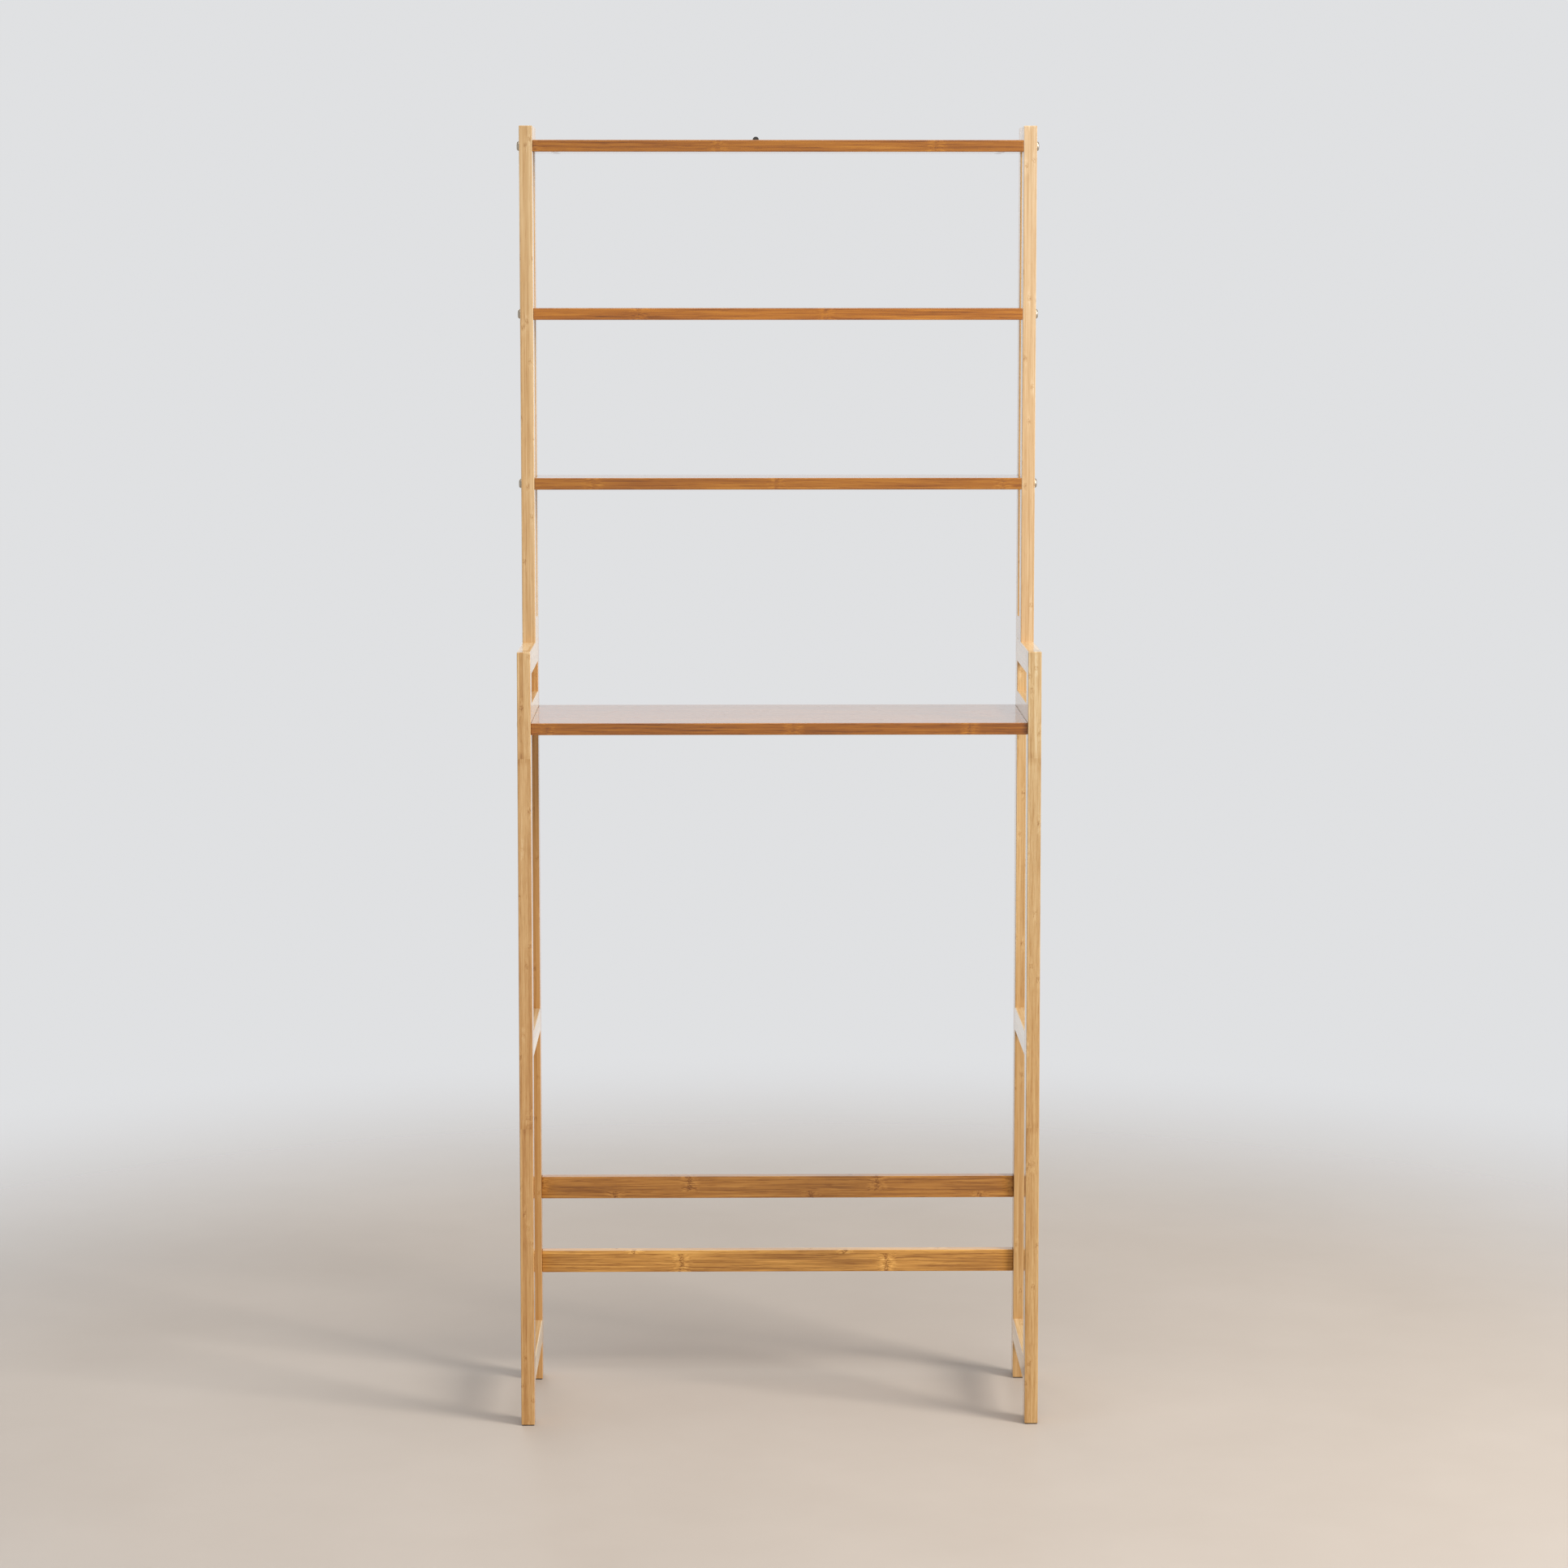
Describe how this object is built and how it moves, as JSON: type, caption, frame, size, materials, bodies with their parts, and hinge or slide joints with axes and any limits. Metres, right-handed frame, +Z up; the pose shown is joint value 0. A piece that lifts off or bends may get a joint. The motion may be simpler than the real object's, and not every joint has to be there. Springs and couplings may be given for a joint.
{
  "type": "over the toilet storage rack",
  "caption": "Tall bamboo bathroom rack with open side frames, a deep main shelf, narrow upper shelves and low rear stretchers, made to stand astride a toilet against a wall.",
  "frame": {"origin": "on the floor, under the middle of the rack's box: half way across its width and half way between the front feet and the rear plane", "axes": "+X across the width to the right seen from the front, +Y to the back where the wall is, +Z up; the open front faces -Y"},
  "size_m": [0.667, 0.25, 1.65],
  "materials": {
    "bamboo_frame": "clear satin lacquer over laminated bamboo",
    "bamboo_shelf": "clear semi-gloss lacquer over laminated bamboo",
    "bamboo_stretcher": "clear satin lacquer over flat-pressed bamboo",
    "bolt_steel": "zinc-plated, polished domed heads",
    "nut_steel": "zinc-plated, plain",
    "dowel_wood": "plain beech",
    "black_steel": "black powder coat",
    "foot_felt": "dark pressed felt"
  },
  "bodies": {
    "root": {"left_front_leg": "bamboo_frame", "left_rear_leg": "bamboo_frame", "left_top_rail": "bamboo_frame", "left_shelf_rail": "bamboo_frame", "left_middle_rail": "bamboo_frame", "left_bottom_rail": "bamboo_frame", "left_upper_front_post": "bamboo_frame", "left_upper_rear_post": "bamboo_frame", "left_upper_top_rail": "bamboo_frame", "left_upper_base_rail": "bamboo_frame", "left_front_foot": "foot_felt", "left_rear_foot": "foot_felt", "right_front_leg": "bamboo_frame", "right_rear_leg": "bamboo_frame", "right_top_rail": "bamboo_frame", "right_shelf_rail": "bamboo_frame", "right_middle_rail": "bamboo_frame", "right_bottom_rail": "bamboo_frame", "right_upper_front_post": "bamboo_frame", "right_upper_rear_post": "bamboo_frame", "right_upper_top_rail": "bamboo_frame", "right_upper_base_rail": "bamboo_frame", "right_front_foot": "foot_felt", "right_rear_foot": "foot_felt", "top_shelf": "bamboo_shelf", "second_shelf": "bamboo_shelf", "third_shelf": "bamboo_shelf", "main_shelf": "bamboo_shelf", "upper_stretcher": "bamboo_stretcher", "lower_stretcher": "bamboo_stretcher", "shelf_bolts": "bolt_steel", "main_shelf_bolts": "bolt_steel", "stretcher_bolts": "bolt_steel", "frame_bolts": "bolt_steel", "shelf_barrel_nuts": "nut_steel", "main_shelf_barrel_nuts": "nut_steel", "stretcher_barrel_nuts": "nut_steel", "frame_barrel_nuts": "nut_steel", "left_rail_dowels": "dowel_wood", "right_rail_dowels": "dowel_wood", "joining_dowels": "dowel_wood", "anti_tip_bracket": "black_steel", "bracket_screws": "black_steel"}
  },
  "joints": []
}
